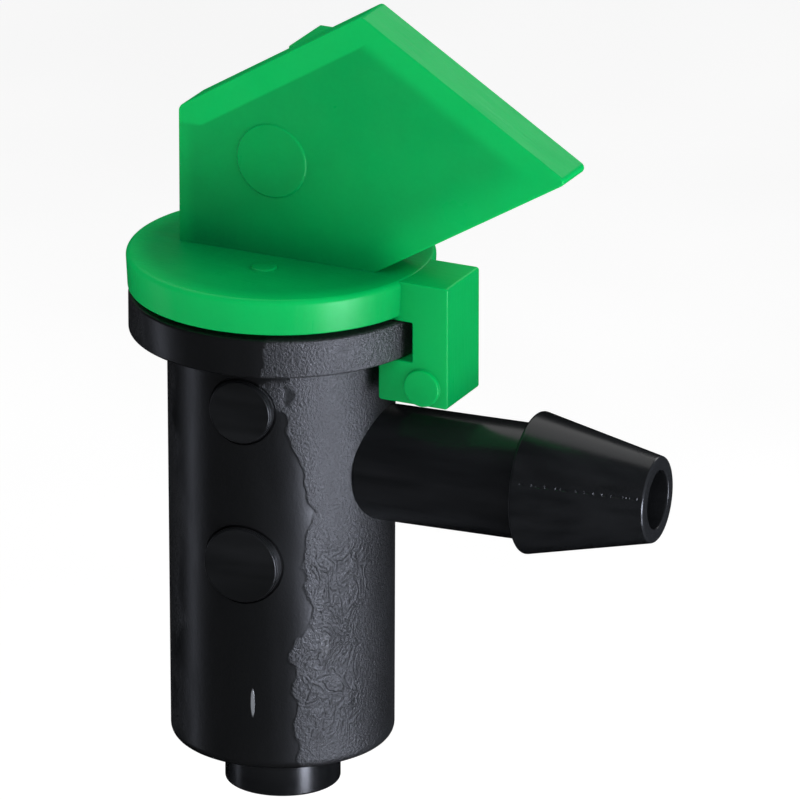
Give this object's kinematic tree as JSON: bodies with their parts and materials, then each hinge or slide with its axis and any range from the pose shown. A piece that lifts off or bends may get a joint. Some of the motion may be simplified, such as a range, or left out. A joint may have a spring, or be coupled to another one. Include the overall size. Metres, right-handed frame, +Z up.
{
  "type": "drip emitter",
  "caption": "Barbed drip irrigation emitter: black barrel with inlet barb and outlet spout, and a green flag cap that turns on it to open the labyrinth plug.",
  "frame": {"origin": "where the inlet barb's axis crosses the barrel's axis", "axes": "+X out along the inlet barb, +Z up along the barrel towards the cap, -Y the side with the round pads"},
  "size_m": [0.0216, 0.012, 0.0321],
  "materials": {
    "black_matte": "fine spark-eroded texture, low sheen",
    "black_gloss": "smooth, semi-gloss",
    "green_cap": "satin, slightly translucent"
  },
  "bodies": {
    "emitter_body": {"barrel": "black_matte", "barrel_flange": "black_matte", "inlet_barb": "black_gloss", "outlet_spout": "black_gloss"},
    "flag_cap": {"cap_disc": "green_cap", "flag_blade": "green_cap", "flag_rib": "green_cap", "latch_clip": "green_cap", "plug_land": "green_cap", "labyrinth_core": "green_cap"}
  },
  "joints": [
    {"name": "cap_turn", "type": "hinge", "parent": "emitter_body", "child": "flag_cap", "pos_m": [0, 0, 0], "axis": [0, 0, 1], "continuous": true}
  ]
}
